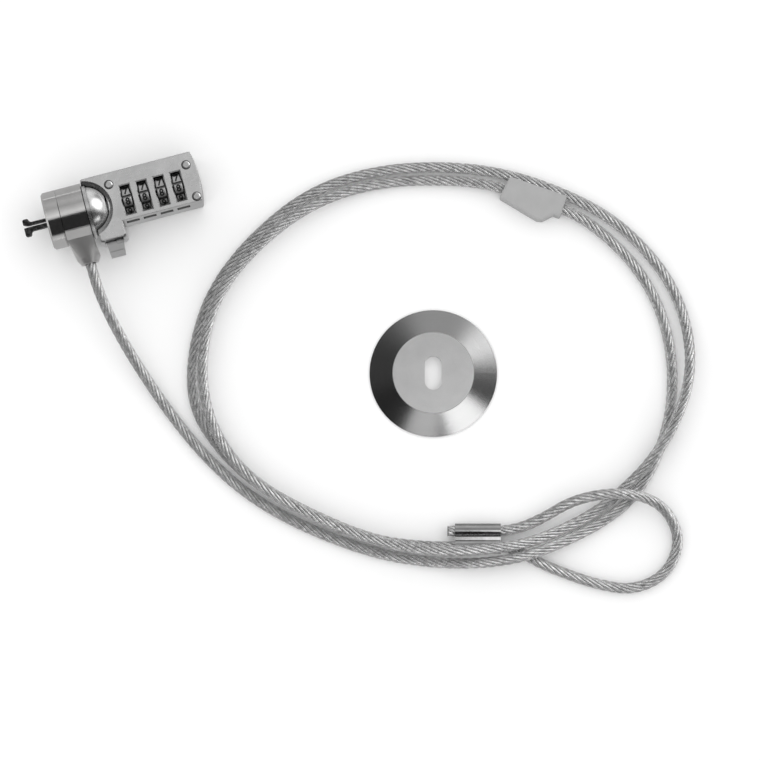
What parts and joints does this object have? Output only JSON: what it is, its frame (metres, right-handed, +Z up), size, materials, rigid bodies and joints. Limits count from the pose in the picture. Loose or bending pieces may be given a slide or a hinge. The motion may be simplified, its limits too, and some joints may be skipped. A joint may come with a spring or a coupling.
{
  "type": "laptop cable lock",
  "caption": "Combination lock head with spreading claws on a swivelling steel security cable, with a crimped eye, a keeper clip and a slotted guard disc.",
  "frame": {"origin": "middle of the lock head's nose face", "axes": "+X along the lock head's axis from the nose to its far end, +Y away from the button, +Z up off the table, which is at z = -10.5 mm"},
  "size_m": [0.224, 0.1936, 0.021],
  "materials": {
    "nose_chrome": "satin chrome plate on zinc",
    "collar_chrome": "satin chrome plate on zinc",
    "dome_chrome": "bright chrome plate",
    "body_nickel": "satin nickel plate on die-cast zinc, fine grain",
    "cover_nickel": "satin nickel plate on die-cast zinc, fine grain",
    "rivet_steel": "bright steel",
    "dial_zinc": "satin, with black filled digits",
    "ring_brass": "turned",
    "inner_steel": "plain",
    "spring_steel": "plain spring wire",
    "button_nickel": "satin nickel plate",
    "claw_black": "black oxide on hardened steel",
    "cable_sleeve": "clear sleeve over bright steel strands",
    "ferrule_aluminium": "polished",
    "clip_grey": "matt moulded",
    "disc_steel": "turned bevel, blasted plateau",
    "washer_black": "matt"
  },
  "bodies": {
    "cable": {"swivel_collar": "collar_chrome", "security_cable": "cable_sleeve", "cable_stop": "ferrule_aluminium", "crimp_ferrule": "ferrule_aluminium"},
    "lock_head": {"nose_cap": "nose_chrome", "neck_tube": "inner_steel", "retaining_ring": "inner_steel", "swivel_washer": "washer_black", "dome_flange": "dome_chrome", "housing": "body_nickel", "cover_plate": "cover_nickel", "cover_rivets": "rivet_steel", "dial_shaft": "inner_steel", "dial_washers": "inner_steel", "detent_spring": "spring_steel", "button_spring": "spring_steel", "claw_spring": "spring_steel", "claw_pins": "inner_steel"},
    "dial_1": {"dial_1": "dial_zinc", "code_ring_1": "ring_brass"},
    "dial_2": {"dial_2": "dial_zinc", "code_ring_2": "ring_brass"},
    "dial_3": {"dial_3": "dial_zinc", "code_ring_3": "ring_brass"},
    "dial_4": {"dial_4": "dial_zinc", "code_ring_4": "ring_brass"},
    "button": {"push_button": "button_nickel"},
    "spreader": {"spreader": "inner_steel"},
    "claw_upper": {"upper_claw": "claw_black"},
    "claw_lower": {"lower_claw": "claw_black"},
    "locking_bar": {"locking_bar": "inner_steel"},
    "clip": {"cable_clip": "clip_grey"},
    "disc": {"guard_disc": "disc_steel"}
  },
  "joints": [
    {"name": "head_swivel", "type": "hinge", "parent": "cable", "child": "lock_head", "pos_m": [0.0101, 0, 0], "axis": [1, 0, 0], "continuous": true},
    {"name": "dial_1_turn", "type": "hinge", "parent": "lock_head", "child": "dial_1", "pos_m": [0.03, 0, 0], "axis": [1, 0, 0], "continuous": true},
    {"name": "dial_2_turn", "type": "hinge", "parent": "lock_head", "child": "dial_2", "pos_m": [0.03626, 0, 0], "axis": [1, 0, 0], "continuous": true},
    {"name": "dial_3_turn", "type": "hinge", "parent": "lock_head", "child": "dial_3", "pos_m": [0.04252, 0, 0], "axis": [1, 0, 0], "continuous": true},
    {"name": "dial_4_turn", "type": "hinge", "parent": "lock_head", "child": "dial_4", "pos_m": [0.04878, 0, 0], "axis": [1, 0, 0], "continuous": true},
    {"name": "button_press", "type": "slide", "parent": "lock_head", "child": "button", "axis": [0, 1, 0], "range_m": [0, 0.003], "stiffness_N_per_m": 300, "springref_m": -0.0015, "deforming": ["button_spring", "claw_spring"]},
    {"name": "spreader_slide", "type": "slide", "parent": "lock_head", "child": "spreader", "axis": [-1, 0, 0], "range_m": [0, 0.003]},
    {"name": "upper_claw_turn", "type": "hinge", "parent": "lock_head", "child": "claw_upper", "pos_m": [0.01, 0.0023, 0], "axis": [0, 0, 1], "range_deg": [-4.3, 0]},
    {"name": "lower_claw_turn", "type": "hinge", "parent": "lock_head", "child": "claw_lower", "pos_m": [0.01, -0.0023, 0], "axis": [0, 0, 1], "range_deg": [0, 4.3]},
    {"name": "locking_bar_drop", "type": "slide", "parent": "lock_head", "child": "locking_bar", "axis": [0, 0, -1], "range_m": [0, 0.0009]},
    {"name": "clip_slide", "type": "slide", "parent": "cable", "child": "clip", "axis": [0.8281, -0.5606, 0], "range_m": [-0.002, 0.002]},
    {"name": "disc_lift", "type": "slide", "parent": "cable", "child": "disc", "axis": [0, 0, 1], "range_m": [0, 0.03]}
  ],
  "couplings": [
    {"joint": "spreader_slide", "follows": "button_press", "ratio": 1},
    {"joint": "upper_claw_turn", "follows": "button_press", "rad_per_m": -25},
    {"joint": "lower_claw_turn", "follows": "button_press", "rad_per_m": 25},
    {"joint": "locking_bar_drop", "follows": "button_press", "ratio": 0.3}
  ]
}
